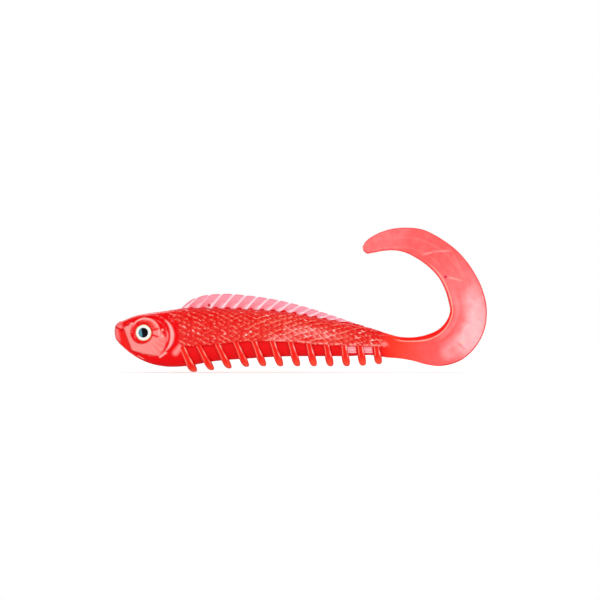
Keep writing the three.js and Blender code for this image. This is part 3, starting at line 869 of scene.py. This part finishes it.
def clear_lens():
    """The clear dome over the print: almost nothing but its gloss."""
    material, nodes, links, shader = new_material("clear_lens")
    shader.inputs["Base Color"].default_value = (0.02, 0.02, 0.02, 1)
    shader.inputs["Roughness"].default_value = 0.04
    shader.inputs["Specular IOR Level"].default_value = 0.5
    shader.inputs["Alpha"].default_value = 0.06
    return material


body_material = soft_plastic("soft_red_body", 0.1, 0.12, 0.26)
tail_material = soft_plastic("soft_red_tail", 0.3, 0.1, 0.4, see_through=0.25, passed=(1, 0.5, 0.47))
fin_material = soft_plastic("soft_pink_fin", 0.06, 0.1, 0.4, see_through=0.6, passed=(1, 0.8, 0.84))
eye_material = eye_print()
lens_material = clear_lens()
for piece in skins[:5] + ribs:
    piece.data.materials.append(body_material)
for piece in skins[5:]:
    piece.data.materials.append(tail_material)
for piece in fins:
    piece.data.materials.append(fin_material)
for print_disc, lens in eyes:
    print_disc.data.materials.append(eye_material)
    lens.data.materials.append(lens_material)

# --- stage ---------------------------------------------------------------------------------

scene = bpy.context.scene
low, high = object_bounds()
floor_mesh = bpy.data.meshes.new("floor")
FLOOR_HALF = 0.6
floor_z = low.z - 0.0001
corners = [(x * FLOOR_HALF, y * FLOOR_HALF, floor_z) for x, y in ((-1, -1), (1, -1), (1, 1), (-1, 1))]
floor_mesh.from_pydata(corners, [], [(0, 1, 2, 3)])
floor = bpy.data.objects.new("floor", floor_mesh)
scene.collection.objects.link(floor)
floor.visible_glossy = False
floor_material, nodes, links, shader = new_material("pale_floor")
shader.inputs["Base Color"].default_value = (0.48, 0.48, 0.48, 1)
shader.inputs["Emission Color"].default_value = (1, 1, 1, 1)
shader.inputs["Emission Strength"].default_value = 0.52
shader.inputs["Roughness"].default_value = 0.9
shader.inputs["Specular IOR Level"].default_value = 0.0
floor_mesh.materials.append(floor_material)
# The floor fades out well away from the object, so that it has no visible edge
place = nodes.new("ShaderNodeTexCoord")
reach = nodes.new("ShaderNodeVectorMath")
reach.operation = "LENGTH"
links.new(place.outputs["Object"], reach.inputs[0])
fade = nodes.new("ShaderNodeMapRange")
fade.interpolation_type = "SMOOTHSTEP"
fade.inputs["From Min"].default_value = 0.2
fade.inputs["From Max"].default_value = 0.5
fade.inputs["To Min"].default_value = 1.0
fade.inputs["To Max"].default_value = 0.0
links.new(reach.outputs["Value"], fade.inputs["Value"])
links.new(fade.outputs["Result"], shader.inputs["Alpha"])

aim = (low + high) / 2


def softbox(name, azimuth, elevation, distance, width, height_m, radiance, mirrored=False):
    """A rectangular light that faces the object; azimuth 0 is the camera's side.

    The broad fills are polarised, so they don't show in the gloss; the mirrored strips do.
    """
    data = bpy.data.lights.new(name, "AREA")
    data.shape = "RECTANGLE"
    data.size, data.size_y = width, height_m
    data.energy = radiance * math.pi * width * height_m
    light = bpy.data.objects.new(name, data)
    light.visible_glossy = mirrored
    a, e = math.radians(azimuth), math.radians(elevation)
    light.location = (
        aim.x + distance * math.sin(a) * math.cos(e),
        aim.y - distance * math.cos(a) * math.cos(e),
        aim.z + distance * math.sin(e),
    )
    light.rotation_mode = "QUATERNION"
    light.rotation_quaternion = (light.location - aim).to_track_quat("Z", "Y")
    scene.collection.objects.link(light)


# Azimuth, elevation, distance, width, height and radiance of each
softbox("softbox_left", -22, 2, 0.7, 0.3, 0.42, 7.2)
softbox("softbox_right", 38, 10, 0.8, 0.32, 0.42, 5.4)
softbox("softbox_top", 0, 108, 0.9, 1.3, 0.8, 2.6)
softbox("softbox_far_left", -145, 8, 0.9, 0.32, 0.42, 5.0)
softbox("softbox_far_right", 145, 8, 0.9, 0.32, 0.42, 5.0)
softbox("strip_left", -42, 28, 0.6, 0.05, 0.3, 9, mirrored=True)
softbox("strip_right", 35, 40, 0.6, 0.25, 0.05, 9, mirrored=True)
softbox("strip_back", 180, 50, 0.7, 0.5, 0.06, 8, mirrored=True)

# The world is white where the camera sees it, dim where it lights and a little brighter in the gloss
world = bpy.data.worlds.new("studio")
scene.world = world
world.use_nodes = True
nodes, links = world.node_tree.nodes, world.node_tree.links
back = nodes["Background"]
back.inputs["Color"].default_value = (1, 1, 1, 1)
seen = nodes.new("ShaderNodeLightPath")
strength = nodes.new("ShaderNodeMapRange")
strength.inputs["To Min"].default_value = 0.1
strength.inputs["To Max"].default_value = 1.0
links.new(seen.outputs["Is Camera Ray"], strength.inputs["Value"])
mirrored_room = nodes.new("ShaderNodeMath")
mirrored_room.operation = "MULTIPLY_ADD"
mirrored_room.inputs[1].default_value = 0.06
links.new(seen.outputs["Is Glossy Ray"], mirrored_room.inputs[0])
links.new(strength.outputs["Result"], mirrored_room.inputs[2])
links.new(mirrored_room.outputs["Value"], back.inputs["Strength"])

camera_data = bpy.data.cameras.new("camera")
camera_data.lens = 200
camera_data.sensor_width = 36
camera_data.clip_start, camera_data.clip_end = 0.01, 50
camera = bpy.data.objects.new("camera", camera_data)
scene.collection.objects.link(camera)
FRAME_WIDTH = 0.1518  # of what the picture takes in at the object
away = FRAME_WIDTH * camera_data.lens / camera_data.sensor_width
camera.location = (0.0469, -away, 0.00784)
camera.rotation_euler = (math.pi / 2, 0, 0)
scene.camera = camera
scene.view_settings.view_transform = "Standard"
